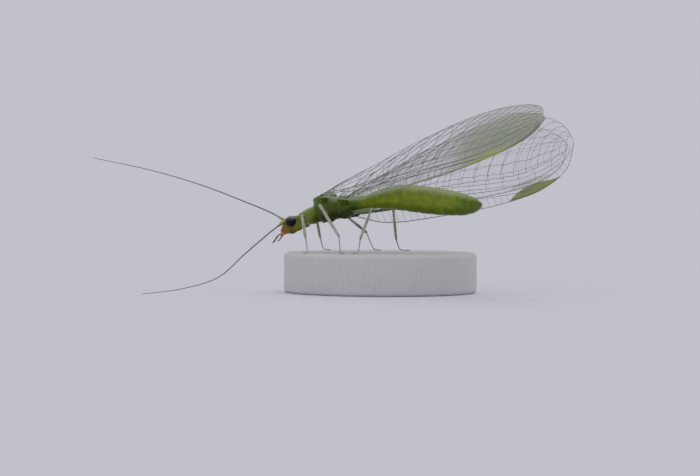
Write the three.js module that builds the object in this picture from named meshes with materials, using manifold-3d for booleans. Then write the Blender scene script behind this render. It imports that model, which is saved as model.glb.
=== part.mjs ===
// A green lacewing at life size, standing with its wings folded back, on a flat oval base.
// Units are millimetres, with +Z up. The head points to -X and the left side faces -Y.
// The origin is the centre of the base's underside. The insect's own heights start at the
// top of the base, where its feet rest.
import * as THREE from "three";
import { mergeVertices } from "three/addons/utils/BufferGeometryUtils.js";
import Module from "manifold-3d";

const wasm = await Module();
wasm.setup();

// Driving dimensions
const FOREWING_LENGTH = 15.3;
const HINDWING_LENGTH = 13.7;
const MEMBRANE_THICKNESS = 0.5;
const VEIN_RISE = 0.1;
const MAIN_VEIN_WIDTH = 0.3;
const CROSS_VEIN_WIDTH = 0.2;
const WING_SPACING = 1.0; // between the middles of a forewing and the hindwing inside it
const WING_ROOT_CUT = 0.4; // where the wing leaves the hinge on the thorax
const LIMB_RADIUS = 0.25;
const TOE_RADIUS = 0.16;
const FEELER_TIP_RADIUS = 0.12;
const GAP = 0.2; // between pieces that meet
const FOOT_GAP = 0.1; // between a foot and the base
const BASE_LENGTH = 11.6;
const BASE_WIDTH = 8.4;
const BASE_THICKNESS = 2.4;
const BASE_CHAMFER = 0.25;
const BODY_SIDES = 20;
const LIMB_SIDES = 8;
const BALL_SIDES = 18;

const paint = (color, roughness, opacity = 1) =>
  new THREE.MeshStandardMaterial({ color, roughness, metalness: 0, opacity, transparent: opacity < 1 });
const greenSkin = paint(0x6f8a22, 0.55);
const darkGreenSkin = paint(0x4c6428, 0.6);
const faceSkin = paint(0x9a8a2a, 0.5);
const eyeGloss = paint(0x17140f, 0.2);
const paleLimb = paint(0x8b977c, 0.6);
const feelerBrown = paint(0x77745a, 0.6);
const clearWing = paint(0xb9c4ae, 0.25, 0.45);
const baseStone = paint(0xb8b4aa, 0.7);

const at = (x, y, z) => new THREE.Vector3(x, y, z);
const mirrored = (p, side) => at(p.x, p.y * side, p.z);

// A closed geometry as a solid that can be joined to others or cut.
function solid(geometry) {
  const bare = new THREE.BufferGeometry();
  bare.setAttribute("position", geometry.getAttribute("position"));
  if (geometry.index) bare.setIndex(geometry.index);
  const merged = mergeVertices(bare, 1e-4);
  const triVerts = new Uint32Array(merged.index.array);
  const vertProperties = new Float32Array(merged.getAttribute("position").array);
  return new wasm.Manifold(new wasm.Mesh({ numProp: 3, vertProperties, triVerts }));
}

const join = (solids) => solids.reduce((whole, piece) => whole.add(piece));

// The largest body of a solid as a geometry, without scraps that a cut left loose.
function geometryOf(whole) {
  const body = whole.decompose().reduce((a, b) => (b.volume() > a.volume() ? b : a));
  const { vertProperties, triVerts } = body.getMesh();
  const geometry = new THREE.BufferGeometry();
  geometry.setAttribute("position", new THREE.BufferAttribute(vertProperties, 3));
  geometry.setIndex(new THREE.BufferAttribute(triVerts, 1));
  geometry.computeVertexNormals();
  return geometry;
}

function named(name, shape, material) {
  const geometry = shape.isBufferGeometry ? shape : geometryOf(shape);
  const mesh = new THREE.Mesh(geometry, material);
  mesh.name = name;
  return mesh;
}

// A closed skin over a row of rings that all have the same number of points.
function skin(rings) {
  const sides = rings[0].length;
  const middle = (ring) => ring.reduce((sum, p) => sum.add(p), at(0, 0, 0)).divideScalar(sides);
  const points = [...rings.flat(), middle(rings[0]), middle(rings.at(-1))];
  const firstMiddle = points.length - 2;
  const lastMiddle = points.length - 1;
  const lastRing = (rings.length - 1) * sides;
  const faces = [];
  for (let i = 0; i < sides; i++) {
    const next = (i + 1) % sides;
    for (let row = 0; row < lastRing; row += sides) {
      faces.push(row + i, row + sides + i, row + next);
      faces.push(row + next, row + sides + i, row + sides + next);
    }
    faces.push(firstMiddle, i, next);
    faces.push(lastMiddle, lastRing + next, lastRing + i);
  }
  const geometry = new THREE.BufferGeometry().setFromPoints(points);
  geometry.setIndex(faces);
  geometry.computeVertexNormals();
  return geometry;
}

// A body length with upright oval rings. Each section is [x, bottom, top, half width].
function bodyLength(sections) {
  return skin(
    sections.map(([x, bottom, top, halfWidth]) =>
      Array.from({ length: BODY_SIDES }, (_, i) => {
        const turn = (2 * Math.PI * i) / BODY_SIDES;
        const height = (bottom + top) / 2 + ((top - bottom) / 2) * Math.sin(turn);
        return at(x, -halfWidth * Math.cos(turn), height);
      }),
    ),
  );
}

// A tube along points, mitred where it bends. It is cut at the two given planes, and each
// radius belongs to the point with the same place in the list.
function limb(points, radii, firstPlane, lastPlane, sides = LIMB_SIDES) {
  const last = points.length - 1;
  const headings = points.slice(1).map((p, i) => p.clone().sub(points[i]).normalize());
  let across = at(0.31, 0.87, 0.39);
  const rings = points.map((point, i) => {
    const heading = headings[Math.min(i, last - 1)];
    const plane =
      i === 0 ? firstPlane : i === last ? lastPlane : headings[i - 1].clone().add(heading).normalize();
    across = across.clone().addScaledVector(heading, -across.dot(heading)).normalize();
    const up = heading.clone().cross(across);
    return Array.from({ length: sides }, (_, k) => {
      const turn = (-2 * Math.PI * k) / sides;
      const out = across.clone().multiplyScalar(Math.cos(turn)).addScaledVector(up, Math.sin(turn));
      out.multiplyScalar(radii[i]);
      out.addScaledVector(heading, -out.dot(plane) / heading.dot(plane));
      return point.clone().add(out);
    });
  });
  return skin(rings);
}

const towards = (from, to) => to.clone().sub(from).normalize();

// A straight tube with square ends.
function rod(from, to, radii) {
  const heading = towards(from, to);
  return limb([from, to], radii, heading, heading);
}

function ball(centre, radii) {
  const geometry = new THREE.SphereGeometry(1, BALL_SIDES, BALL_SIDES / 2);
  return solid(geometry.scale(...radii).translate(...centre));
}

function block(low, high) {
  const size = high.clone().sub(low);
  const centre = low.clone().add(high).divideScalar(2);
  return solid(new THREE.BoxGeometry(...size).translate(...centre));
}

const CUTTER = 12; // reach of a cutting block, past anything that it cuts

// The piece without what lies behind an upright plane across the body.
function cutBehind(piece, x) {
  return piece.subtract(block(at(x, -CUTTER, -CUTTER), at(x + CUTTER, CUTTER, CUTTER)));
}

const insect = new THREE.Group();
insect.position.z = BASE_THICKNESS;

// Head: a rounded capsule with a blunt snout that points down and forward, two flat
// sockets for the eyes, two sockets for the feelers and four short palps round the mouth.
const HEAD_CENTRE = at(-5.38, 0, 1.62);
const HEAD_RADII = at(0.52, 0.5, 0.58);
const MOUTH = at(-6.0, 0, 1.14);
const SNOUT_RADII = [0.44, 0.2];
const NECK_X = -4.95;
const NECK_HEIGHT = 1.72;
const NECK_RADII = [0.4, 0.34];
const EYE_CENTRE = at(-5.34, 0.46, 1.86);
const EYE_RADII = at(0.33, 0.36, 0.34);
const EYE_SEAT = 0.34; // half the head's width between the flat eye sockets
const EYE_SOCKET_RADII = [0.51, 0.69];
const FEELER_SOCKET = at(-5.87, 0.29, 1.87);
const FEELER_STUB_LENGTH = 0.3;
const FEELER_STUB_RADII = [0.22, 0.24];
const PALPS = [
  [at(-5.95, 0.16, 1.16), at(-6.22, 0.24, 1.02), at(-6.4, 0.26, 0.62)],
  [at(-5.85, 0.1, 1.08), at(-6.0, 0.14, 0.84), at(-6.2, 0.14, 0.62)],
];
const PALP_RADII = [0.12, 0.1, 0.05];
const feelerHeading = {
  left: at(-0.63, -0.57, -0.53).normalize(),
  right: at(-0.86, 0.22, 0.46).normalize(),
};
const feelerSocket = { left: mirrored(FEELER_SOCKET, -1), right: FEELER_SOCKET };

function headSolid() {
  const snout = rod(HEAD_CENTRE, MOUTH, SNOUT_RADII);
  const neck = rod(HEAD_CENTRE, at(NECK_X + 0.05, 0, NECK_HEIGHT), NECK_RADII);
  const pieces = [ball(HEAD_CENTRE, HEAD_RADII), solid(snout), solid(neck)];
  for (const side of [-1, 1]) {
    for (const palp of PALPS) {
      const path = palp.map((p) => mirrored(p, side));
      pieces.push(solid(limb(path, PALP_RADII, towards(path[0], path[1]), towards(path[1], path[2]))));
    }
  }
  for (const side of ["left", "right"]) {
    const socket = feelerSocket[side];
    const sunk = socket.clone().addScaledVector(feelerHeading[side], -FEELER_STUB_LENGTH);
    pieces.push(solid(rod(sunk, socket, FEELER_STUB_RADII)));
  }
  let head = cutBehind(join(pieces), NECK_X);
  for (const side of [-1, 1]) {
    const seat = mirrored(at(EYE_CENTRE.x, EYE_SEAT, EYE_CENTRE.z), side);
    const past = mirrored(at(EYE_CENTRE.x, EYE_SEAT + 1, EYE_CENTRE.z), side);
    head = head.subtract(solid(rod(seat, past, EYE_SOCKET_RADII)));
  }
  return head;
}
insect.add(named("head", headSolid(), faceSkin));

// Eyes: domes with a flat back that stand on the sockets at the sides of the head.
for (const [name, side] of [["eye_left", -1], ["eye_right", 1]]) {
  const centre = mirrored(EYE_CENTRE, side);
  const inner = side * (EYE_SEAT + GAP);
  const outer = side * CUTTER;
  const low = at(-CUTTER, Math.min(inner, outer), -CUTTER);
  const high = at(CUTTER, Math.max(inner, outer), CUTTER);
  insect.add(named(name, ball(centre, EYE_RADII).intersect(block(low, high)), eyeGloss));
}

// Feelers: long and thin, one held up and forward, one lowered beside the base.
const FEELER_PATHS = {
  right: [at(-8.4, 0.95, 2.97), at(-11.3, 1.7, 3.97), at(-14.6, 2.55, 4.84), at(-18.55, 3.5, 5.6)],
  left: [at(-7.8, -2.0, 0.02), at(-9.05, -3.9, -1.3), at(-10.7, -6.2, -1.86), at(-12.6, -8.7, -2.06)],
};
const FEELER_STEPS = 14;
const FEELER_STRAIGHT = 0.7; // how far it runs straight on from its socket
const FEELER_TAPER = 0.25; // the share of its length that tapers to the tip
for (const side of ["left", "right"]) {
  const start = feelerSocket[side].clone().addScaledVector(feelerHeading[side], GAP);
  const bend = start.clone().addScaledVector(feelerHeading[side], FEELER_STRAIGHT);
  const path = new THREE.CatmullRomCurve3([start, bend, ...FEELER_PATHS[side]], false, "centripetal");
  const points = path.getSpacedPoints(FEELER_STEPS);
  const radii = points.map((_, i) => {
    const tipShare = Math.max(0, i / FEELER_STEPS - 1 + FEELER_TAPER) / FEELER_TAPER;
    return THREE.MathUtils.lerp(LIMB_RADIUS, FEELER_TIP_RADIUS, tipShare);
  });
  const lastHeading = towards(points.at(-2), points.at(-1));
  insect.add(named(`antenna_${side}`, limb(points, radii, feelerHeading[side], lastHeading), feelerBrown));
}

// Legs: femur, tibia and tarsus, with the hip, knee, ankle, ball and toe as points. The
// short coxa belongs to the thorax length that the leg grows from.
const LEGS = {
  front_left: [
    at(-4.28, -0.76, 2.02), at(-4.48, -1.56, 2.22), at(-4.2, -1.95, 0.95),
    at(-4.08, -2.1, 0.2), at(-4.2, -2.35, 0.1),
  ],
  front_right: [
    at(-4.36, 0.74, 1.85), at(-4.1, 1.3, 2.15), at(-3.92, 1.7, 0.85),
    at(-3.7, 1.85, 0.25), at(-3.42, 1.98, 0.1),
  ],
  middle_left: [
    at(-3.05, -1.08, 2.38), at(-3.38, -1.72, 2.86), at(-2.12, -2.4, 1.05),
    at(-2.0, -2.6, 0.25), at(-1.85, -2.85, 0.1),
  ],
  middle_right: [
    at(-2.98, 0.9, 2.02), at(-2.25, 1.26, 2.12), at(-1.06, 1.6, 1.12),
    at(-0.62, 1.85, 0.28), at(-0.35, 2.05, 0.1),
  ],
  hind_left: [
    at(-1.5, -0.82, 2.42), at(-0.28, -1.72, 2.62), at(-0.82, -2.5, 0.95),
    at(-0.98, -2.7, 0.25), at(-1.22, -2.85, 0.1),
  ],
  hind_right: [
    at(-1.35, 0.7, 2.24), at(0.68, 0.84, 2.48), at(0.76, 1.6, 0.75),
    at(0.98, 1.75, 0.28), at(1.48, 1.92, 0.1),
  ],
};
const LEG_RADII = { femur: [0.26, 0.25], tibia: [0.25, 0.23], tarsus: [0.23, 0.2, TOE_RADIUS] };
const COXA_RADIUS = 0.3;
const COXA_SUNK = { front: 0.4, middle: 0.6, hind: 0.5 }; // how far it runs into the thorax

function onPlane(point, heading, plane, offset) {
  return point.clone().addScaledVector(heading, offset / heading.dot(plane));
}

for (const [place, [hip, knee, ankle, sole, toe]] of Object.entries(LEGS)) {
  const upper = towards(hip, knee);
  const lower = towards(knee, ankle);
  const foot = towards(ankle, sole);
  const last = towards(sole, toe);
  const kneePlane = upper.clone().add(lower).normalize();
  const anklePlane = lower.clone().add(foot).normalize();
  const femur = [hip.clone().addScaledVector(upper, GAP), onPlane(knee, upper, kneePlane, -GAP / 2)];
  const tibia = [onPlane(knee, lower, kneePlane, GAP / 2), onPlane(ankle, lower, anklePlane, -GAP / 2)];
  const tarsus = [onPlane(ankle, foot, anklePlane, GAP / 2), sole, toe];
  insect.add(named(`${place}_femur`, limb(femur, LEG_RADII.femur, upper, kneePlane), paleLimb));
  insect.add(named(`${place}_tibia`, limb(tibia, LEG_RADII.tibia, kneePlane, anklePlane), paleLimb));
  const whole = solid(limb(tarsus, LEG_RADII.tarsus, anklePlane, last));
  const below = block(at(-CUTTER, -CUTTER, -CUTTER), at(CUTTER, CUTTER, FOOT_GAP));
  insect.add(named(`${place}_tarsus`, whole.subtract(below), paleLimb));
}

// A coxa runs from inside the thorax to the hip, in line with the femur.
function coxa(row, side) {
  const [hip, knee] = LEGS[`${row}_${side}`];
  const inside = hip.clone().addScaledVector(towards(hip, knee), -COXA_SUNK[row]);
  return solid(rod(inside, hip, [COXA_RADIUS, LEG_RADII.femur[0]]));
}
const coxae = (row) => [coxa(row, "left"), coxa(row, "right")];

// Wings: each pair lies in two flat sheets a fixed distance apart, the hindwing inside. The
// sheets point back along yaw and pitch, and roll is how far the front edge hangs down.
const WING_PAIRS = {
  left: { side: -1, yaw: 22.2, pitch: 17.2, roll: 36.6, root: at(-3.4, -1.0, 3.52), stem: 0.1 },
  right: { side: 1, yaw: 5, pitch: 13.7, roll: 80, root: at(-3.38, 2.02, 2.78), stem: 0.42 },
};
const STEM_LENGTH = 1.5; // how far from its root a wing bends in towards the thorax
const HIND_ROOT = {
  left: { back: 1.35, down: 0, swing: 4.5 },
  right: { back: 1.37, down: 0.1, swing: 0.8 },
};

// Outlines as fractions of the wing's length: along the wing, and towards the front edge.
const FORE_FRONT = [
  [0.026, 0.03], [0.1, 0.075], [0.2, 0.122], [0.42, 0.15],
  [0.66, 0.16], [0.84, 0.139], [0.95, 0.08],
];
const FORE_BACK = [
  [0.975, -0.09], [0.88, -0.157], [0.68, -0.202],
  [0.42, -0.163], [0.2, -0.084], [0.026, -0.02],
];
const HIND_FRONT = [
  [0.026, 0.026], [0.1, 0.044], [0.2, 0.069], [0.4, 0.099],
  [0.66, 0.123], [0.84, 0.115], [0.95, 0.068],
];
const HIND_BACK = [
  [0.975, -0.062], [0.88, -0.132], [0.68, -0.182],
  [0.42, -0.157], [0.2, -0.1], [0.026, -0.026],
];
const WING_TIP = [1, -0.016];
const OUTLINE_STEPS = 28;

function wingOutline(front, back, length) {
  const knots = [...front, WING_TIP, ...back].map(([s, c]) => at(s * length, c * length, 0));
  return new THREE.CatmullRomCurve3(knots, false, "centripetal").getSpacedPoints(OUTLINE_STEPS);
}

// The front or back edge's height at one place along the wing.
function edgeHeight(edge, along) {
  const after = edge.findIndex(([s], i) => i > 0 && (s - along) * (edge[i - 1][0] - along) <= 0);
  if (after < 0) return WING_TIP[1];
  const [s0, c0] = edge[after - 1];
  const [s1, c1] = edge[after];
  return THREE.MathUtils.lerp(c0, c1, (along - s0) / (s1 - s0));
}

function plate(points, thickness) {
  const shape = new THREE.Shape(points.map((p) => new THREE.Vector2(p.x, p.y)));
  const geometry = new THREE.ExtrudeGeometry(shape, { depth: thickness, bevelEnabled: false, steps: 1 });
  return solid(geometry.translate(0, 0, -thickness / 2));
}

// A vein stands out of both faces of the membrane.
function vein(path, width) {
  const thickness = MEMBRANE_THICKNESS + 2 * VEIN_RISE;
  const sideways = path.map((p, i) => {
    const before = path[Math.max(i - 1, 0)];
    const after = path[Math.min(i + 1, path.length - 1)];
    const run = towards(before, after);
    return at(-run.y, run.x, 0).multiplyScalar(width / 2);
  });
  const left = path.map((p, i) => p.clone().add(sideways[i]));
  const right = path.map((p, i) => p.clone().sub(sideways[i]));
  return plate([...left, ...right.reverse()], thickness);
}

// Main veins run from root to tip between the edges. Depth is 0 on the front edge and 1 on
// the back edge, at each quarter of the vein's length.
const MAIN_VEINS = [
  { from: 0.03, to: 0.8, depth: [0.45, 0.24, 0.17, 0.11, 0.06] },
  { from: 0.03, to: 0.96, depth: [0.6, 0.33, 0.23, 0.17, 0.25] },
  { from: 0.12, to: 0.97, depth: [0.4, 0.39, 0.33, 0.29, 0.45] },
  { from: 0.03, to: 0.9, depth: [0.7, 0.58, 0.55, 0.55, 0.72] },
  { from: 0.03, to: 0.8, depth: [0.85, 0.79, 0.77, 0.78, 0.93] },
];

// Cross veins stand in a row between two depths. Each one leans forward by a share of length.
const CROSS_VEIN_ROWS = [
  { count: 8, from: 0.14, to: 0.68, lean: -0.01, depth: [0, 0.24] },
  { count: 5, from: 0.24, to: 0.68, lean: 0.17, depth: [0.36, 1] },
];

function wingSolid(front, back, length, stem) {
  const place = (along, depth) => {
    const frontHeight = edgeHeight([...front, WING_TIP], along);
    const backHeight = edgeHeight([WING_TIP, ...back], along);
    return at(along, THREE.MathUtils.lerp(frontHeight, backHeight, depth), 0).multiplyScalar(length);
  };
  const outline = wingOutline(front, back, length);
  const half = OUTLINE_STEPS / 2 + 1;
  const tall = MEMBRANE_THICKNESS + 4 * VEIN_RISE;
  const veins = [vein(outline.slice(0, half), 2 * MAIN_VEIN_WIDTH)];
  for (const { from, to, depth } of MAIN_VEINS) {
    const path = depth.map((d, i) => place(THREE.MathUtils.lerp(from, to, i / (depth.length - 1)), d));
    veins.push(vein(path, MAIN_VEIN_WIDTH));
  }
  for (const { count, from, to, lean, depth } of CROSS_VEIN_ROWS) {
    for (let i = 0; i < count; i++) {
      const along = THREE.MathUtils.lerp(from, to, i / (count - 1));
      veins.push(vein([place(along, depth[0]), place(along + lean, depth[1])], CROSS_VEIN_WIDTH));
    }
  }
  const sheet = join([plate(outline, MEMBRANE_THICKNESS), ...veins]).intersect(plate(outline, tall));
  return sheet.warp((v) => {
    v[2] -= stem * (1 - THREE.MathUtils.smoothstep(v[0], 0, STEM_LENGTH));
  });
}

// The directions of one sheet: along the wing, towards its front edge, and out of its face.
function sheetAxes({ side, yaw, pitch, roll }) {
  const [turn, rise, hang] = [yaw, pitch, roll].map(THREE.MathUtils.degToRad);
  const back = at(Math.cos(turn), side * Math.sin(turn), 0);
  const level = at(-Math.sin(turn), side * Math.cos(turn), 0);
  const along = back.clone().multiplyScalar(Math.cos(rise)).add(at(0, 0, Math.sin(rise)));
  const down = back.clone().multiplyScalar(Math.sin(rise)).sub(at(0, 0, Math.cos(rise)));
  const front = level.clone().multiplyScalar(Math.cos(hang)).addScaledVector(down, Math.sin(hang));
  const outward = level.clone().multiplyScalar(Math.sin(hang)).addScaledVector(down, -Math.cos(hang));
  return { along, front, outward };
}

// A wing's own frame: x along it, y to its front edge, and z out on the right, in on the left.
function wingPlacement(pairName, hind) {
  const pair = WING_PAIRS[pairName];
  const { along, front, outward } = sheetAxes(pair);
  const root = pair.root.clone();
  if (!hind) return { along, front, outward, root };
  const { back, down, swing } = HIND_ROOT[pairName];
  root.addScaledVector(along, back).addScaledVector(front, down).addScaledVector(outward, -WING_SPACING);
  const turn = THREE.MathUtils.degToRad(swing);
  const hindAlong = along.clone().multiplyScalar(Math.cos(turn)).addScaledVector(front, -Math.sin(turn));
  const hindFront = front.clone().multiplyScalar(Math.cos(turn)).addScaledVector(along, Math.sin(turn));
  return { along: hindAlong, front: hindFront, outward, root };
}

for (const [pairName, { side, stem }] of Object.entries(WING_PAIRS)) {
  for (const hind of [false, true]) {
    const { along, front, root } = wingPlacement(pairName, hind);
    const shape = hind
      ? wingSolid(HIND_FRONT, HIND_BACK, HINDWING_LENGTH, 0)
      : wingSolid(FORE_FRONT, FORE_BACK, FOREWING_LENGTH, side * stem);
    const wing = named(`${hind ? "hindwing" : "forewing"}_${pairName}`, shape, clearWing);
    const normal = along.clone().cross(front);
    wing.quaternion.setFromRotationMatrix(new THREE.Matrix4().makeBasis(along, front, normal));
    wing.position.copy(root);
    insect.add(wing);
  }
}

const HINGE_RADII = [0.36, 0.28, 0.25];
const HINGE_BEND = 0.1; // how far before the root it turns in line with the wing

// A hinge on the thorax carries a wing: it runs from inside the thorax to the wing's root.
function wingHinge(pairName, hind, inside) {
  const { along, outward, root } = wingPlacement(pairName, hind);
  const stem = hind ? 0 : WING_PAIRS[pairName].stem;
  const base = root.clone().addScaledVector(outward, -stem);
  const end = base.clone().addScaledVector(along, WING_ROOT_CUT - GAP);
  const bend = base.clone().addScaledVector(along, -HINGE_BEND);
  return solid(limb([inside, bend, end], HINGE_RADII, towards(inside, bend), along));
}

// Thorax: three lengths, each with upright flat ends. The middle one is the highest, with
// two low swellings on its back where the flight muscles lie.
const PROTHORAX = [
  [-4.75, 1.46, 2.26, 0.4],
  [-4.55, 1.5, 2.42, 0.5],
  [-4.3, 1.54, 2.6, 0.56],
  [-4.05, 1.6, 2.76, 0.6],
];
const MESOTHORAX = [
  [-3.9, 1.72, 3.2, 0.66],
  [-3.7, 1.8, 3.36, 0.82],
  [-3.35, 1.84, 3.45, 0.9],
  [-3.0, 1.88, 3.46, 0.9],
  [-2.65, 1.92, 3.39, 0.83],
];
const METATHORAX = [
  [-2.5, 1.96, 3.36, 0.8],
  [-2.2, 2.02, 3.4, 0.84],
  [-1.8, 2.14, 3.38, 0.8],
  [-1.4, 2.28, 3.36, 0.72],
  [-1.15, 2.4, 3.38, 0.66],
];
const PROTHORAX_END = -4.1;
const prothorax = join([solid(bodyLength(PROTHORAX)), ...coxae("front")]);
insect.add(named("prothorax", cutBehind(prothorax, PROTHORAX_END), greenSkin));

const MESOTHORAX_END = -2.7;
const SWELLING_CENTRE = at(-3.32, 0.41, 3.2);
const SWELLING_RADII = at(0.47, 0.37, 0.35);
const mesothorax = join([
  solid(bodyLength(MESOTHORAX)),
  ...[-1, 1].map((side) => ball(mirrored(SWELLING_CENTRE, side), SWELLING_RADII)),
  ...coxae("middle"),
  wingHinge("left", false, at(-3.3, -0.5, 3.05)),
  wingHinge("right", false, at(-3.3, 0.5, 2.9)),
]);
insect.add(named("mesothorax", cutBehind(mesothorax, MESOTHORAX_END), darkGreenSkin));

const metathorax = join([
  solid(bodyLength(METATHORAX)),
  ...coxae("hind"),
  wingHinge("left", true, at(-2.1, -0.45, 2.85)),
  wingHinge("right", true, at(-2.1, 0.45, 2.75)),
]);
insect.add(named("metathorax", metathorax, darkGreenSkin));

// Abdomen: swollen with eggs, highest in the middle, with a groove at each segment's end.
const SEGMENTS = 9;
const RINGS_PER_SEGMENT = 3;
const GROOVE_DEPTH = 0.045;
const SEGMENT_CROWDING = 0.94; // under 1, segments are longer in front than behind
const LINE_STEPS = 120;
const ABDOMEN_TOP = [
  [-0.95, 3.4], [0.1, 3.86], [1.2, 4.1], [3.0, 3.98], [4.8, 3.64], [5.7, 3.32], [6.15, 2.98],
];
const ABDOMEN_BOTTOM = [
  [-0.95, 2.5], [0.1, 2.6], [1.2, 2.5], [2.6, 2.32], [3.8, 2.22], [5.1, 2.22], [5.8, 2.44], [6.15, 2.76],
];
const ABDOMEN_HALF_WIDTH = [
  [-0.95, 0.6], [0.1, 0.78], [1.2, 0.88], [3.0, 0.9], [4.8, 0.74], [5.7, 0.5], [6.15, 0.14],
];

// The height of a smooth line through knots, at any x between the first and the last.
function lineThrough(knots) {
  const curve = new THREE.CatmullRomCurve3(knots.map(([x, z]) => at(x, 0, z)), false, "centripetal");
  const points = curve.getPoints(LINE_STEPS);
  return (x) => {
    const after = Math.max(1, points.findIndex((p) => p.x >= x - 1e-6));
    const [a, b] = [points[after - 1], points[after]];
    return THREE.MathUtils.lerp(a.z, b.z, (x - a.x) / (b.x - a.x));
  };
}

function abdomenSolid() {
  const rings = SEGMENTS * RINGS_PER_SEGMENT;
  const [bottom, top, halfWidth] = [ABDOMEN_BOTTOM, ABDOMEN_TOP, ABDOMEN_HALF_WIDTH].map(lineThrough);
  const sections = Array.from({ length: rings + 1 }, (_, i) => {
    const along = Math.pow(i / rings, SEGMENT_CROWDING);
    const x = THREE.MathUtils.lerp(ABDOMEN_TOP[0][0], ABDOMEN_TOP.at(-1)[0], along);
    const groove = i % RINGS_PER_SEGMENT === 0 && i > 0 && i < rings ? GROOVE_DEPTH : 0;
    return [x, bottom(x) + groove, top(x) - groove, halfWidth(x) - groove];
  });
  return bodyLength(sections);
}
insect.add(named("abdomen", abdomenSolid(), greenSkin));

// Base: a flat oval plate with chamfered rims, turned round and then squeezed in width.
const BASE_SIDES = 40;

function baseSolid() {
  const radius = BASE_LENGTH / 2;
  const profile = [
    [0, 0],
    [radius - BASE_CHAMFER, 0],
    [radius, BASE_CHAMFER],
    [radius, BASE_THICKNESS - BASE_CHAMFER],
    [radius - BASE_CHAMFER, BASE_THICKNESS],
    [0, BASE_THICKNESS],
  ].map(([r, z]) => new THREE.Vector2(r, z));
  const turned = new THREE.LatheGeometry(profile, BASE_SIDES);
  return turned.rotateX(Math.PI / 2).scale(1, BASE_WIDTH / BASE_LENGTH, 1);
}

const lacewing = new THREE.Group();
lacewing.add(insect, named("stand_base", solid(baseSolid()), baseStone));

export default lacewing;
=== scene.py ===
# A green lacewing at life size, as a museum shows it: it stands on a flat oval base with its
# wings held up and back. Lengths here are millimetres, +X runs to the insect's tail, and the
# insect's own heights start at the top of the base, where its feet rest.
import math

import bmesh
import bpy
import numpy as np
from mathutils import Matrix, Vector


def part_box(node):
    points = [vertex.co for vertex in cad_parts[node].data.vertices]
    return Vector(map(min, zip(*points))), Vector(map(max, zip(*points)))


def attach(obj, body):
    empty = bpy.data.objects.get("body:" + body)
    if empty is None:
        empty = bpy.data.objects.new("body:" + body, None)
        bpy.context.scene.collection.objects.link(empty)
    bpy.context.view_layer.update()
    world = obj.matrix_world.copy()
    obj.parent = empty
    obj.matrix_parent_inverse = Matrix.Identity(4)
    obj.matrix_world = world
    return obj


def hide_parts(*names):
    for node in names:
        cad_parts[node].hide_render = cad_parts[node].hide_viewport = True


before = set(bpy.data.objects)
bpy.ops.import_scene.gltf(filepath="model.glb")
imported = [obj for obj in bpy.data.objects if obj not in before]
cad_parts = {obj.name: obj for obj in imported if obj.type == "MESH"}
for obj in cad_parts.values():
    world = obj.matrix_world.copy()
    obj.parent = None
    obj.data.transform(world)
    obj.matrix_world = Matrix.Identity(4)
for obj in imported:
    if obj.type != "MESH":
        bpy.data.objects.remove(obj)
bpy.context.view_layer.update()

scene = bpy.context.scene


# Base: a flat oval plate of pale cast stone with softly rounded rims. The insect's feet rest
# on its top, and its level underside is what stands on a shelf.
MM = 0.001
BASE_ROUNDING = 0.25
BASE_SIDES = 160
ROUNDING_STEPS = 6
BASE_PALE = (0.50, 0.49, 0.46, 1)
BASE_DARK = (0.42, 0.41, 0.385, 1)
base_low, base_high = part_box("stand_base")
BASE_TOP = base_high.z / MM


def new_object(name, vertices, faces, edges=()):
    mesh = bpy.data.meshes.new(name)
    mesh.from_pydata(vertices, edges, faces)
    mesh.polygons.foreach_set("use_smooth", [True] * len(faces))
    obj = bpy.data.objects.new(name, mesh)
    scene.collection.objects.link(obj)
    return obj


def skin_over(rings):
    """Vertices and faces of a closed skin over rings that all have the same number of points."""
    sides = len(rings[0])
    last = (len(rings) - 1) * sides
    vertices = [p for ring in rings for p in ring]
    vertices += [sum(ring, Vector()) / sides for ring in (rings[0], rings[-1])]
    faces = []
    for i in range(sides):
        j = (i + 1) % sides
        faces += [(row + i, row + j, row + sides + j, row + sides + i) for row in range(0, last, sides)]
        faces += [(last + sides, j, i), (last + sides + 1, last + i, last + j)]
    return vertices, faces


def node(tree, kind, values=(), **settings):
    """A node with its settings. Its inputs take plain values or the outputs of other nodes."""
    made = tree.nodes.new(kind)
    for name, value in settings.items():
        setattr(made, name, value)
    for key, value in dict(values).items():
        if isinstance(value, bpy.types.NodeSocket):
            tree.links.new(value, made.inputs[key])
        else:
            made.inputs[key].default_value = value
    return made


def new_group(name, kind, inputs, outputs):
    """An empty node group with named sockets, each given as name, socket type and default."""
    group = bpy.data.node_groups.new(name, kind)
    for side, sockets in (("INPUT", inputs), ("OUTPUT", outputs)):
        for label, socket_type, default in sockets:
            socket = group.interface.new_socket(label, in_out=side, socket_type=socket_type)
            if default is not None:
                socket.default_value = default
    return group, group.nodes.new("NodeGroupInput").outputs, group.nodes.new("NodeGroupOutput")


def mixed(tree, share, first, second):
    """The output of a mix of two colours."""
    values = {0: share, 6: first, 7: second}
    return node(tree, "ShaderNodeMix", values, data_type="RGBA").outputs[2]


def new_surface(name, **values):
    """A material and its shader, with the inputs that are the same all over set on the shader."""
    material = bpy.data.materials.new(name)
    material.use_nodes = True
    shader = material.node_tree.nodes["Principled BSDF"]
    for key, value in values.items():
        shader.inputs[key.replace("_", " ")].default_value = value
    return material, material.node_tree, shader


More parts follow.
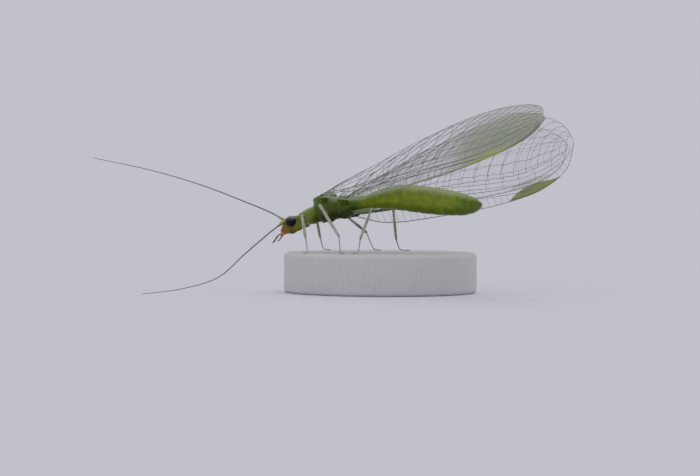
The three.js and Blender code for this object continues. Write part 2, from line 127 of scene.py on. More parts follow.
def grain_group():
    """Mottled colour with fine pits, for stone and for an insect's skin alike."""
    inputs = [
        ("Pale", "NodeSocketColor", (1, 1, 1, 1)),
        ("Dark", "NodeSocketColor", (0, 0, 0, 1)),
        ("Mottle Scale", "NodeSocketFloat", 1000.0),
        ("Pit Scale", "NodeSocketFloat", 10000.0),
        ("Pit Depth", "NodeSocketFloat", 0.000005),
        ("Smoothest", "NodeSocketFloat", 0.4),
        ("Roughest", "NodeSocketFloat", 0.6),
    ]
    outputs = [
        ("Color", "NodeSocketColor", None),
        ("Roughness", "NodeSocketFloat", None),
        ("Normal", "NodeSocketVector", None),
    ]
    group, given, result = new_group("grain", "ShaderNodeTree", inputs, outputs)
    place = node(group, "ShaderNodeTexCoord").outputs["Object"]
    coarse = {"Vector": place, "Scale": given["Mottle Scale"], "Detail": 5.0}
    mottle = node(group, "ShaderNodeTexNoise", coarse)
    fine = {"Vector": place, "Scale": given["Pit Scale"], "Detail": 2.0}
    pits = node(group, "ShaderNodeTexNoise", fine)
    spread = {"Value": mottle.outputs["Fac"], "From Min": 0.35, "From Max": 0.65}
    share = node(group, "ShaderNodeMapRange", spread).outputs[0]
    color = mixed(group, share, given["Dark"], given["Pale"])
    gloss = {"Value": pits.outputs["Fac"], "To Min": given["Smoothest"], "To Max": given["Roughest"]}
    roughness = node(group, "ShaderNodeMapRange", gloss).outputs[0]
    relief = {"Height": pits.outputs["Fac"], "Distance": given["Pit Depth"], "Strength": 1.0}
    normal = node(group, "ShaderNodeBump", relief).outputs[0]
    for label, socket in (("Color", color), ("Roughness", roughness), ("Normal", normal)):
        group.links.new(socket, result.inputs[label])
    return group


GRAIN = grain_group()


def grained(tree, shader, **values):
    """Gives a shader the grain group's colour, roughness and pits."""
    grain = node(tree, "ShaderNodeGroup", (), node_tree=GRAIN)
    for key, value in values.items():
        socket = grain.inputs[key.replace("_", " ")]
        if isinstance(value, bpy.types.NodeSocket):
            tree.links.new(value, socket)
        else:
            socket.default_value = value
    tree.links.new(grain.outputs["Color"], shader.inputs["Base Color"])
    tree.links.new(grain.outputs["Roughness"], shader.inputs["Roughness"])
    tree.links.new(grain.outputs["Normal"], shader.inputs["Normal"])


def base_ring(inset, height):
    middle = (base_low + base_high) / 2
    across = (base_high - base_low) / 2 - Vector((inset, inset, 0)) * MM
    turns = [2 * math.pi * i / BASE_SIDES for i in range(BASE_SIDES)]
    return [
        Vector((middle.x + across.x * math.cos(t), middle.y + across.y * math.sin(t), height * MM))
        for t in turns
    ]


base_rings = []
for lower, level in ((True, BASE_ROUNDING), (False, BASE_TOP - BASE_ROUNDING)):
    for step in range(ROUNDING_STEPS + 1):
        turn = math.pi / 2 * (step / ROUNDING_STEPS if lower else 1 - step / ROUNDING_STEPS)
        drop = -math.cos(turn) if lower else math.cos(turn)
        base_rings.append(base_ring(BASE_ROUNDING * (1 - math.sin(turn)), level + BASE_ROUNDING * drop))
base = new_object("display_base", *skin_over(base_rings))
stone, stone_tree, stone_shader = new_surface("base_stone", Specular_IOR_Level=0.4)
grained(
    stone_tree, stone_shader, Pale=BASE_PALE, Dark=BASE_DARK, Mottle_Scale=7000.0, Pit_Scale=16000.0,
    Pit_Depth=0.000012, Smoothest=0.55, Roughest=0.8,
)
base.data.materials.append(stone)
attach(base, "root")
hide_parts("stand_base")


# Body: one soft green skin from the mouth to the tail. The head is a small capsule with a
# blunt orange face, the collar behind it is a saddle, the two winged lengths of the thorax
# bulge with flight muscle, and the abdomen is swollen with eggs and ringed by its segments.
BODY_SIDES = 64
LENGTH_RINGS = 24
CURVE_STEPS = 24
VOXEL = 0.032
SKIN_SMOOTHING = 3
HEAD_CENTRE = Vector((-5.38, 0, 1.62))
HEAD_RADII = (0.5, 0.48, 0.56)
MOUTH = Vector((-5.98, 0, 1.13))
NECK_END = Vector((-4.72, 0, 1.8))
NECK_RADII = (0.38, 0.35, 0.33)
# How far each ring of the snout lies from the head's middle, and its radius.
SNOUT = [(-0.1, 0.4), (0.1, 0.43), (0.3, 0.38), (0.5, 0.3), (0.66, 0.22), (0.74, 0.17), (0.78, 0.1)]
# The upright ovals of the collar and the thorax: place along the body, bottom, top, half width.
COLLAR = [
    (-4.92, 1.56, 2.3, 0.34), (-4.72, 1.59, 2.43, 0.42), (-4.45, 1.62, 2.59, 0.5),
    (-4.1, 1.66, 2.74, 0.56), (-3.86, 1.7, 2.84, 0.58),
]
MIDDLE_THORAX = [
    (-4.0, 1.76, 3.16, 0.46), (-3.9, 1.74, 3.32, 0.62), (-3.7, 1.78, 3.4, 0.76),
    (-3.35, 1.84, 3.42, 0.84), (-3.0, 1.9, 3.42, 0.84), (-2.6, 1.96, 3.34, 0.78),
]
REAR_THORAX = [
    (-2.78, 1.98, 3.22, 0.7), (-2.4, 2.0, 3.34, 0.78), (-1.9, 2.12, 3.34, 0.76),
    (-1.4, 2.28, 3.32, 0.68), (-0.8, 2.44, 3.4, 0.6),
]
# The lumps of the body are ovals, given by a centre on the right half and three radii.
SWELLINGS = [
    ((-3.36, 0.4, 3.16), (0.44, 0.34, 0.34)),
    ((-2.84, 0, 3.42), (0.22, 0.26, 0.13)),
    ((-2.16, 0.36, 3.16), (0.36, 0.32, 0.26)),
    ((-1.72, 0, 3.34), (0.2, 0.24, 0.1)),
    ((-3.42, 0.62, 2.52), (0.28, 0.24, 0.5)),
    ((-2.9, 0.6, 2.48), (0.26, 0.24, 0.46)),
    ((-3.12, 0.4, 2.02), (0.42, 0.3, 0.22)),
    ((-2.32, 0.56, 2.6), (0.26, 0.24, 0.4)),
    ((-1.84, 0.5, 2.64), (0.26, 0.24, 0.34)),
    ((-2.1, 0.34, 2.2), (0.36, 0.28, 0.2)),
    ((-4.32, 0.3, 2.2), (0.34, 0.28, 0.3)),
    ((-5.24, 0, 1.98), (0.34, 0.32, 0.2)),
    ((-5.02, 0, 1.92), (0.28, 0.3, 0.28)),
    ((-3.84, 0.22, 3.1), (0.2, 0.26, 0.22)),
    ((-5.1, 0.12, 1.52), (0.44, 0.26, 0.3)),
    ((-5.5, 0.22, 1.36), (0.26, 0.18, 0.24)),
]
LIMB_SIDES = 20
ACROSS_LIMB = (0.31, 0.87, 0.39)  # any direction that no limb runs in
SEGMENTS = 9
SEGMENT_CROWDING = 0.94
SKIN_RINGS = 180
ABDOMEN_LINE_STEPS = 120
GROOVE_DEPTH = 0.028
GROOVE_WIDTH = 0.08
GROOVE_FADE = 0.6  # the grooves grow shallow over this last length of the tail
SIDE_FOLD_DEPTH = 0.035
SIDE_FOLD_PLACE = -0.15  # just below the middle of the side
SIDE_FOLD_WIDTH = 0.12
ABDOMEN_TOP = [
    (-0.95, 3.38), (0.1, 3.84), (1.2, 4.08), (3.0, 3.96), (4.8, 3.62), (5.7, 3.3), (6.12, 2.98),
]
ABDOMEN_BOTTOM = [
    (-0.95, 2.52), (0.1, 2.62), (1.2, 2.52), (2.6, 2.34), (3.8, 2.24), (5.1, 2.24), (5.8, 2.45),
    (6.12, 2.74),
]
ABDOMEN_HALF_WIDTH = [
    (-0.95, 0.58), (0.1, 0.76), (1.2, 0.86), (3.0, 0.88), (4.8, 0.72), (5.7, 0.48), (6.12, 0.12),
]


def smooth_line(knots, steps):
    """Points evenly spaced along the centripetal curve through knots, from first to last."""
    knots = [Vector(k).to_3d() for k in knots]
    knots = [2 * knots[0] - knots[1], *knots, 2 * knots[-1] - knots[-2]]
    fine = []
    for p0, p1, p2, p3 in zip(knots, knots[1:], knots[2:], knots[3:]):
        spans = [max((b - a).length, 1e-9) ** 0.5 for a, b in ((p0, p1), (p1, p2), (p2, p3))]
        first = ((p1 - p0) / spans[0] - (p2 - p0) / (spans[0] + spans[1]) + (p2 - p1) / spans[1]) * spans[1]
        last = ((p2 - p1) / spans[1] - (p3 - p1) / (spans[1] + spans[2]) + (p3 - p2) / spans[2]) * spans[1]
        for step in range(CURVE_STEPS):
            t = step / CURVE_STEPS
            fine.append(
                p1 * (2 * t**3 - 3 * t**2 + 1) + first * (t**3 - 2 * t**2 + t)
                + p2 * (3 * t**2 - 2 * t**3) + last * (t**3 - t**2)
            )
    fine.append(knots[-2])
    reached = np.concatenate([[0], np.cumsum([(b - a).length for a, b in zip(fine, fine[1:])])])
    wanted = np.linspace(0, reached[-1], steps + 1)
    columns = [np.interp(wanted, reached, [p[axis] for p in fine]) for axis in range(3)]
    return [Vector(p) for p in zip(*columns)]


def across_line(line, x):
    """The height of a line where it passes x."""
    return float(np.interp(x, [p.x for p in line], [p.y for p in line]))


def oval_ring(x, bottom, top, half_width, fold=0.0):
    """An upright oval ring, drawn in along a fold on each side."""
    ring = []
    for i in range(BODY_SIDES):
        turn = 2 * math.pi * i / BODY_SIDES
        aside = 1 - fold * math.exp(-((math.sin(turn) - SIDE_FOLD_PLACE) / SIDE_FOLD_WIDTH) ** 2)
        height = (bottom + top) / 2 + (top - bottom) / 2 * math.sin(turn)
        ring.append(Vector((x, half_width * aside * math.cos(turn), height)))
    return ring


def body_length(sections):
    lines = [smooth_line([(s[0], s[i]) for s in sections], LENGTH_RINGS) for i in (1, 2, 3)]
    xs = np.linspace(sections[0][0], sections[-1][0], LENGTH_RINGS + 1)
    return skin_over([oval_ring(x, *(across_line(line, x) for line in lines)) for x in xs])


def oval_lump(centre, radii):
    made = bmesh.new()
    place = Matrix.Translation(centre) @ Matrix.Diagonal((*radii, 1))
    bmesh.ops.create_icosphere(made, subdivisions=4, radius=1, matrix=place)
    made.verts.index_update()
    found = [v.co.copy() for v in made.verts], [[v.index for v in f.verts] for f in made.faces]
    made.free()
    return found


def limb(points, radii):
    """A round limb along points, with a flat end at both."""
    headings = [(b - a).normalized() for a, b in zip(points, points[1:])]
    across = Vector(ACROSS_LIMB)
    rings = []
    for i, (point, radius) in enumerate(zip(points, radii)):
        run = (headings[max(i - 1, 0)] + headings[min(i, len(headings) - 1)]).normalized()
        across = (across - across.dot(run) * run).normalized()
        up = run.cross(across)
        turns = [-2 * math.pi * k / LIMB_SIDES for k in range(LIMB_SIDES)]
        rings.append([point + radius * (across * math.cos(t) + up * math.sin(t)) for t in turns])
    return skin_over(rings)


def abdomen_skin():
    front, back = ABDOMEN_TOP[0][0], ABDOMEN_TOP[-1][0]
    joints = [front + (back - front) * (k / SEGMENTS) ** SEGMENT_CROWDING for k in range(1, SEGMENTS)]
    knots_of_lines = (ABDOMEN_BOTTOM, ABDOMEN_TOP, ABDOMEN_HALF_WIDTH)
    lines = [smooth_line(knots, ABDOMEN_LINE_STEPS) for knots in knots_of_lines]
    rings = []
    for i in range(SKIN_RINGS + 1):
        x = front + (back - front) * i / SKIN_RINGS
        bottom, top, half = [across_line(line, x) for line in lines]
        groove = max(GROOVE_DEPTH * math.exp(-((x - j) / GROOVE_WIDTH) ** 2) for j in joints)
        groove *= min(1.0, (back - x) / GROOVE_FADE)
        rings.append(oval_ring(x, bottom + groove, top - groove, half - groove, SIDE_FOLD_DEPTH))
    return skin_over(rings), joints


# Hip, knee, ankle, sole and toe of each leg. The short coxa is part of the body's skin.
LEGS = {
    "front_left": [
        (-4.28, -0.76, 2.02), (-4.48, -1.56, 2.22), (-4.2, -1.95, 0.95),
        (-4.08, -2.1, 0.2), (-4.2, -2.35, 0.1),
    ],
    "front_right": [
        (-4.36, 0.74, 1.85), (-4.1, 1.3, 2.15), (-3.92, 1.7, 0.85),
        (-3.7, 1.85, 0.25), (-3.42, 1.98, 0.1),
    ],
    "middle_left": [
        (-3.05, -1.08, 2.38), (-3.38, -1.72, 2.86), (-2.12, -2.4, 1.05),
        (-2.0, -2.6, 0.25), (-1.85, -2.85, 0.1),
    ],
    "middle_right": [
        (-2.98, 0.9, 2.02), (-2.25, 1.26, 2.14), (-1.06, 1.6, 1.14),
        (-0.62, 1.85, 0.28), (-0.35, 2.05, 0.1),
    ],
    "hind_left": [
        (-1.5, -0.82, 2.42), (-0.28, -1.72, 2.64), (-0.82, -2.5, 0.95),
        (-0.98, -2.7, 0.25), (-1.22, -2.85, 0.1),
    ],
    "hind_right": [
        (-1.35, 0.7, 2.32), (0.68, 0.84, 2.6), (0.76, 1.6, 0.75),
        (0.98, 1.75, 0.28), (1.48, 1.92, 0.1),
    ],
}
# A coxa tapers from inside the body to the hip. The first value is how deep it starts.
COXA_SUNK = {"front": 0.52, "middle": 0.72, "hind": 0.62}
COXA_RADII = (0.22, 0.2, 0.15, 0.08)
COXA_LIP = 0.04

# A wing follows a flat sheet. It points back along yaw and pitch, and roll is how far its
# front edge hangs down. The hindwing's sheet lies inside the forewing's.
WING_PAIRS = {
    "left": {"side": -1, "yaw": 22.2, "pitch": 17.2, "roll": 36.6, "root": (-3.4, -1.0, 3.52), "stem": 0.1},
    "right": {"side": 1, "yaw": 5, "pitch": 13.7, "roll": 80, "root": (-3.38, 2.02, 2.78), "stem": 0.42},
}
HIND_ROOT = {
    "left": {"back": 1.3, "down": 0, "swing": 5.2},
    "right": {"back": 1.37, "down": 0.1, "swing": 0.8},
}
WING_SPACING = 0.8
STEM_LENGTH = 1.5
# The thorax swells out to each wing's root in a shoulder of these radii.
SHOULDER_RADII = (0.3, 0.2, 0.13, 0.06)
SHOULDER_MIDDLE = 0.6
SHOULDER_LIP = 0.16
SHOULDERS = {
    ("left", False): (-3.3, -0.5, 3.05), ("right", False): (-3.3, 0.5, 2.9),
    ("left", True): (-2.1, -0.45, 2.85), ("right", True): (-2.1, 0.45, 2.75),
}


def wing_frame(pair_name, hind):
    """A wing's root, and its directions along, to its front edge and out of its outer face."""
    pair = WING_PAIRS[pair_name]
    turn, rise, hang = (math.radians(pair[key]) for key in ("yaw", "pitch", "roll"))
    side = pair["side"]
    back = Vector((math.cos(turn), side * math.sin(turn), 0))
    level = Vector((-math.sin(turn), side * math.cos(turn), 0))
    along = back * math.cos(rise) + Vector((0, 0, math.sin(rise)))
    down = back * math.sin(rise) - Vector((0, 0, math.cos(rise)))
    front = level * math.cos(hang) + down * math.sin(hang)
    outward = level * math.sin(hang) - down * math.cos(hang)
    root = Vector(pair["root"])
    if not hind:
        return root, along, front, outward
    place = HIND_ROOT[pair_name]
    root = root + along * place["back"] + front * place["down"] - outward * WING_SPACING
    swing = math.radians(place["swing"])
    return (
        root,
        along * math.cos(swing) - front * math.sin(swing),
        front * math.cos(swing) + along * math.sin(swing),
        outward,
    )


snout_run = (MOUTH - HEAD_CENTRE).normalized()
body_parts = [
    oval_lump(HEAD_CENTRE, HEAD_RADII),
    limb([HEAD_CENTRE + snout_run * reach for reach, _ in SNOUT], [radius for _, radius in SNOUT]),
    limb([HEAD_CENTRE, (HEAD_CENTRE + NECK_END) / 2, NECK_END], NECK_RADII),
    body_length(COLLAR),
    body_length(MIDDLE_THORAX),
    body_length(REAR_THORAX),
]
abdomen_part, abdomen_joints = abdomen_skin()
body_parts.append(abdomen_part)
for centre, radii in SWELLINGS:
    for side in (-1, 1) if centre[1] else (1,):
        body_parts.append(oval_lump((centre[0], centre[1] * side, centre[2]), radii))
for name, points in LEGS.items():
    hip, knee = Vector(points[0]), Vector(points[1])
    run = (knee - hip).normalized()
    start = hip - run * COXA_SUNK[name.split("_")[0]]
    body_parts.append(limb([start, (start + hip) / 2, hip, hip + run * COXA_LIP], COXA_RADII))
for (pair_name, hind), shoulder in SHOULDERS.items():
    root, along, _, outward = wing_frame(pair_name, hind)
    stem = 0 if hind else WING_PAIRS[pair_name]["stem"]
    root = root - outward * stem
    start = Vector(shoulder)
    points = [start, start.lerp(root, SHOULDER_MIDDLE), root, root + along * SHOULDER_LIP]
    body_parts.append(limb(points, SHOULDER_RADII))

vertices, faces = [], []
for part_vertices, part_faces in body_parts:
    faces += [[i + len(vertices) for i in face] for face in part_faces]
    vertices += part_vertices
body = new_object("body_skin", vertices, faces)


def finished(obj, scale=1.0):
    """The object with its modifiers made part of its mesh. A scaled one moves onto the base."""
    shown = obj.evaluated_get(bpy.context.evaluated_depsgraph_get())
    made = bpy.data.meshes.new_from_object(shown)
    obj.modifiers.clear()
    obj.data = made
    if scale != 1.0:
        made.transform(Matrix.Scale(scale, 4) @ Matrix.Translation((0, 0, BASE_TOP)))
    return obj


fuse = body.modifiers.new("fuse", "REMESH")
fuse.mode = "VOXEL"
fuse.voxel_size = VOXEL
fuse.use_smooth_shade = True
soften = body.modifiers.new("soften", "SMOOTH")
soften.factor = 0.5
soften.iterations = SKIN_SMOOTHING
finished(body, MM)

FACE_ORANGE = (0.3, 0.095, 0.004, 1)
HEAD_OLIVE = (0.135, 0.112, 0.005, 1)
COLLAR_GREEN = (0.12, 0.19, 0.012, 1)
THORAX_GREEN = (0.064, 0.108, 0.003, 1)
# Painted shade: the thorax's shade colour and the abdomen's darker green stand for shadow on the underside
# and at the tail end.
THORAX_SHADE = (0.028, 0.046, 0.001, 1)
ABDOMEN_GREEN = (0.17, 0.26, 0.008, 1)
ABDOMEN_SHADE = (0.07, 0.13, 0.002, 1)
# Painted sheen: a grey that lightens the top of the abdomen as if it caught the sky.
PAINTED_SHEEN_GREY = (0.11, 0.145, 0.045, 1)
# The body's lowest line, from the thorax to the tail.
UNDERSIDE = [(-4.0, 1.75), (-1.0, 2.45), (1.2, 2.5), (3.8, 2.24), (6.1, 2.7)]
# The way from the mouth to the crown, along which the orange of the face ends.
CROWNWARD = (0.62, 0.78)
JOINT_BAND = 0.07
JOINT_SHARE = 0.5
# How strongly the painted sheen lightens the top of the abdomen.
PAINTED_SHEEN_SHARE = 0.6
# The collar's green begins between these two places, in metres along the body.
COLLAR_EDGE = (-0.0053, -0.0047)


def step_up(values, low, high):
    share = np.clip((values - low) / (high - low), 0, 1)
    return share * share * (3 - 2 * share)


def store(obj, name, values):
    attribute = obj.data.attributes.new(name, "FLOAT", "POINT")
    attribute.data.foreach_set("value", np.asarray(values, np.float32))


places = np.zeros(len(body.data.vertices) * 3, np.float32)
body.data.vertices.foreach_get("co", places)
px, _, pz = (places.reshape(-1, 3) / MM).T
pz = pz - BASE_TOP
crownward = (px - HEAD_CENTRE.x) * CROWNWARD[0] + (pz - HEAD_CENTRE.z) * CROWNWARD[1]
store(body, "face", (1 - step_up(crownward, -0.6, -0.22)) * (1 - step_up(px, -5.6, -5.25)))
store(body, "thorax", step_up(px, -4.15, -3.75) * (1 - step_up(px, -1.5, -0.6)))
store(body, "abdomen", step_up(px, -1.6, -0.5))
# Painted shade: the underside of the thorax and abdomen, and the tail end, are coloured darker as if in
# shadow.
above_belly = pz - np.interp(px, *zip(*UNDERSIDE))
store(body, "painted_shade", np.maximum(1 - step_up(above_belly, 0.0, 0.75), step_up(px, 4.2, 5.7)))
# Painted sheen: the top of the abdomen, between its front and its tail end, is lightened grey as if it
# caught the sky.
sheen_mask = step_up(pz - np.interp(px, *zip(*ABDOMEN_TOP)), -0.9, -0.1)
sheen_mask *= PAINTED_SHEEN_SHARE * step_up(px, -0.9, 0.8) * (1 - step_up(px, 4.0, 5.6))
store(body, "back", sheen_mask)
joint_share = np.zeros_like(px)
for joint in abdomen_joints:
    joint_share = np.maximum(joint_share, np.exp(-(((px - joint) / JOINT_BAND) ** 2)))
store(body, "joint", JOINT_SHARE * joint_share * step_up(px, -0.9, -0.5))

cuticle, body_tree, body_shader = new_surface(
    "green_skin", Specular_IOR_Level=0.3, Subsurface_Weight=0.25, Subsurface_Scale=0.0004,
)


def attribute_of(tree, name):
    return node(tree, "ShaderNodeAttribute", (), attribute_name=name).outputs["Fac"]


color = mixed(body_tree, attribute_of(body_tree, "face"), HEAD_OLIVE, FACE_ORANGE)
place = node(body_tree, "ShaderNodeTexCoord").outputs["Object"]
along_body = node(body_tree, "ShaderNodeSeparateXYZ", {0: place}).outputs["X"]
behind_head = {"Value": along_body, "From Min": COLLAR_EDGE[0], "From Max": COLLAR_EDGE[1]}
behind_head = node(body_tree, "ShaderNodeMapRange", behind_head).outputs[0]
color = mixed(body_tree, behind_head, color, COLLAR_GREEN)
# The thorax and the abdomen get painted shade on the underside and at the tail end.
shaded = mixed(body_tree, attribute_of(body_tree, "painted_shade"), THORAX_GREEN, THORAX_SHADE)
color = mixed(body_tree, attribute_of(body_tree, "thorax"), color, shaded)
painted_shade = mixed(body_tree, attribute_of(body_tree, "painted_shade"), ABDOMEN_GREEN, ABDOMEN_SHADE)
# Painted sheen: the grey on top of the abdomen.
painted_shade = mixed(body_tree, attribute_of(body_tree, "back"), painted_shade, PAINTED_SHEEN_GREY)
color = mixed(body_tree, attribute_of(body_tree, "abdomen"), color, painted_shade)
darken = node(body_tree, "ShaderNodeHueSaturation", {"Value": 0.72, "Color": color}).outputs[0]
pale_joint = node(body_tree, "ShaderNodeHueSaturation", {"Value": 1.12, "Color": color}).outputs[0]
color = mixed(body_tree, attribute_of(body_tree, "joint"), color, pale_joint)
grained(
    body_tree, body_shader, Pale=color, Dark=darken, Mottle_Scale=2600.0, Pit_Scale=26000.0,
    Pit_Depth=0.000006, Smoothest=0.36, Roughest=0.56,
)
body.data.materials.append(cuticle)
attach(body, "root")
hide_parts("head", "prothorax", "mesothorax", "metathorax", "abdomen")


# Eyes: two big domes on the sides of the head, each built of thousands of six-sided lenses.
# They are almost black, with a soft grey sheen painted on where they face the sky.
EYE_CENTRE = (-5.36, 0.36, 1.84)
EYE_RADII = (0.31, 0.32, 0.32)
LENS_SCALE = 42000.0
LENS_DEPTH = 0.000004
EYE_BLACK = (0.002, 0.0015, 0.001, 1)
EYE_BROWN = (0.008, 0.006, 0.004, 1)
# Painted sheen: the grey of the eye's top, which stands for the sky's reflection.
EYE_PAINTED_SHEEN = (0.09, 0.087, 0.074, 1)
for name, side in (("eye_left", -1), ("eye_right", 1)):
    x, y, z = EYE_CENTRE
    made, made_faces = oval_lump((x, y * side, z), EYE_RADII)
    eye = new_object("compound_" + name, made, made_faces)
    finished(eye, MM)
    gloss, eye_tree, eye_shader = new_surface(
        "eye_gloss_" + name, Coat_Weight=0.3, Coat_Roughness=0.2, Roughness=0.5, Specular_IOR_Level=0.03,
    )
    place = node(eye_tree, "ShaderNodeTexCoord").outputs["Object"]
    lenses = node(eye_tree, "ShaderNodeTexVoronoi", {"Vector": place, "Scale": LENS_SCALE})
    fall = {0: 1.0, 1: lenses.outputs["Distance"]}
    domes = node(eye_tree, "ShaderNodeMath", fall, operation="SUBTRACT")
    relief = {"Height": domes.outputs[0], "Distance": LENS_DEPTH, "Strength": 0.6}
    eye_tree.links.new(node(eye_tree, "ShaderNodeBump", relief).outputs[0], eye_shader.inputs["Normal"])
    sheen = node(eye_tree, "ShaderNodeTexNoise", {"Vector": place, "Scale": 3000.0})
    tone = mixed(eye_tree, sheen.outputs["Fac"], EYE_BLACK, EYE_BROWN)
    # Painted sheen: the upper half of each eye turns grey towards the top, as if it reflected the sky.
    height = node(eye_tree, "ShaderNodeSeparateXYZ", {0: place}).outputs["Z"]
    middle = z + BASE_TOP
    painted_sheen_share = {"Value": height, "From Min": middle * MM, "From Max": (middle + EYE_RADII[2]) * MM}
    painted_sheen_share = node(eye_tree, "ShaderNodeMapRange", painted_sheen_share, interpolation_type="SMOOTHSTEP").outputs[0]
    tone = mixed(eye_tree, painted_sheen_share, tone, EYE_PAINTED_SHEEN)
    eye_tree.links.new(tone, eye_shader.inputs["Base Color"])
    eye.data.materials.append(gloss)
    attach(eye, "root")
    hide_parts(name)


# Feelers: a stout first joint, a round second one, and about ninety short rings that thin to
# the tip. One is held up and forward and the other lowered beside the base. Each is one tube
# whose thickness changes along it, and so are the palps, the legs and the wings' veins.
FEELER_RINGS = 92
RING_PROFILE = (1.0, 0.8, 0.96)
FEELER_RADIUS = 0.062
FEELER_TIP_RADIUS = 0.03
# The first two joints, as distances from the socket along the feeler's heading and radii. The
# rings start inside them, in a straight line.
FIRST_JOINT = ((-0.12, 0.05, 0.22), (0.11, 0.125, 0.1))
SECOND_JOINT = ((0.3, 0.38), (0.08, 0.08))
STRAIGHT_START = (-0.1, 0.2, 0.9)
CAP_TURNS = (1.45, 1.1, 0.6)  # the turns, in radians, at which a round cap has its rings
FEELER_SOCKETS = {"left": (-5.86, -0.28, 1.77), "right": (-5.86, 0.28, 1.88)}
FEELER_HEADINGS = {"left": (-0.63, -0.57, -0.53), "right": (-0.86, 0.22, 0.46)}
FEELER_PATHS = {
    "right": [(-8.4, 0.95, 2.97), (-11.3, 1.7, 3.97), (-14.6, 2.55, 4.84), (-18.5, 3.49, 5.59)],
    "left": [(-7.8, -2.0, 0.0), (-9.05, -3.9, -1.32), (-10.7, -6.2, -1.88), (-12.56, -8.64, -2.06)],
}
FEELER_GREEN = (0.19, 0.24, 0.07, 1)
FEELER_BROWN = (0.13, 0.125, 0.085, 1)


def tube_tree():
    """Geometry nodes that turn lines of edges into tubes as thick as their thickness attribute."""
    inputs = [
        ("Geometry", "NodeSocketGeometry", None),
        ("Sides", "NodeSocketInt", 8),
        ("Material", "NodeSocketMaterial", None),
    ]
    outputs = [("Geometry", "NodeSocketGeometry", None)]
    tree, given, result = new_group("tubes", "GeometryNodeTree", inputs, outputs)
    named = {"Name": "thickness"}
    thickness = node(tree, "GeometryNodeInputNamedAttribute", named, data_type="FLOAT")
    lines = node(tree, "GeometryNodeMeshToCurve", {"Mesh": given["Geometry"]})
    ring_values = {"Resolution": given["Sides"], "Radius": 1.0}
    ring = node(tree, "GeometryNodeCurvePrimitiveCircle", ring_values)
    values = {"Profile Curve": ring.outputs[0], "Scale": thickness.outputs[0], "Fill Caps": True}
    tubes = node(tree, "GeometryNodeCurveToMesh", {"Curve": lines.outputs[0], **values})
    smooth = node(tree, "GeometryNodeSetShadeSmooth", {0: tubes.outputs[0]})
    whole = node(tree, "GeometryNodeRealizeInstances", {0: smooth.outputs[0]})
    paint = {"Geometry": whole.outputs[0], "Material": given["Material"]}
    painted = node(tree, "GeometryNodeSetMaterial", paint)
    tree.links.new(painted.outputs[0], result.inputs[0])
    return tree


def grown(obj, tree, **values):
    """Runs a geometry tree on an object with named inputs, and keeps the result as its mesh."""
    modifier = obj.modifiers.new("grow", "NODES")
    modifier.node_group = tree
    items = tree.interface.items_tree
    sockets = {item.name: item.identifier for item in items if item.in_out == "INPUT"}
    for key, value in values.items():
        modifier[sockets[key]] = value
    return finished(obj)


TUBES = tube_tree()


def on_base(point):
    return (Vector(point) + Vector((0, 0, BASE_TOP))) * MM


def tubes(name, strands, material, sides):
    """One piece from strands. A strand is its points, their radii, and a shade from 0 to 1."""
    vertices, edges, thickness, shade = [], [], [], []
    for points, radii, strand_shade in strands:
        first = len(vertices)
        vertices += [on_base(p) for p in points]
        edges += [(i, i + 1) for i in range(first, len(vertices) - 1)]
        thickness += [r * MM for r in radii]
        shade += np.broadcast_to(strand_shade, len(points)).tolist()
    obj = new_object(name, vertices, [], edges)
    store(obj, "thickness", thickness)
    store(obj, "shade", shade)
    return grown(obj, TUBES, Sides=sides, Material=material)


def round_cap(end, inner, radius):
    """The places and radii of a round cap, from its tip to the end of the strand."""
    run = (Vector(end) - Vector(inner)).normalized()
    return [(Vector(end) + run * radius * math.sin(t), radius * math.cos(t)) for t in CAP_TURNS]


def rounded(points, radii):
    """The same strand with its two ends closed by round caps."""
    first = round_cap(points[0], points[1], radii[0])
    last = round_cap(points[-1], points[-2], radii[-1])
    middle = [(Vector(point), radius) for point, radius in zip(points, radii)]
    whole = [*first, *middle, *reversed(last)]
    return [point for point, _ in whole], [radius for _, radius in whole]


def limb_surface(name, first, last):
    """A skin that runs from its first colour to its last one by the shade of each strand."""
    material, tree, shader = new_surface(
        name, Specular_IOR_Level=0.4, Subsurface_Weight=0.15, Subsurface_Scale=0.0001,
    )
    pale = mixed(tree, attribute_of(tree, "shade"), first, last)
    dark = node(tree, "ShaderNodeHueSaturation", {"Value": 0.6, "Color": pale}).outputs[0]
    grained(
        tree, shader, Pale=pale, Dark=dark, Mottle_Scale=4000.0, Pit_Scale=30000.0, Pit_Depth=0.000003,
        Smoothest=0.35, Roughest=0.55,
    )
    return material


feeler_skin = limb_surface("feeler_skin", FEELER_GREEN, FEELER_BROWN)
for side_name, socket in FEELER_SOCKETS.items():
    socket = Vector(socket)
    heading = Vector(FEELER_HEADINGS[side_name]).normalized()
    knots = [socket + heading * reach for reach in STRAIGHT_START] + FEELER_PATHS[side_name]
    path = smooth_line(knots, FEELER_RINGS * len(RING_PROFILE))
    radii = []
    for i in range(len(path)):
        share = i / (len(path) - 1)
        bulge = RING_PROFILE[i % len(RING_PROFILE)]
        radii.append((FEELER_RADIUS * (1 - share) + FEELER_TIP_RADIUS * share) * bulge)
    strands = []
    for reaches, joint_radii in (FIRST_JOINT, SECOND_JOINT):
        joint = [socket + heading * reach for reach in reaches]
        strands.append((*rounded(joint, joint_radii), 0.0))
    strands.append((*rounded(path, radii), 1.0))
    feeler = tubes("feeler_" + side_name, strands, feeler_skin, 10)
    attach(feeler, "root")
    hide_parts("antenna_" + side_name)


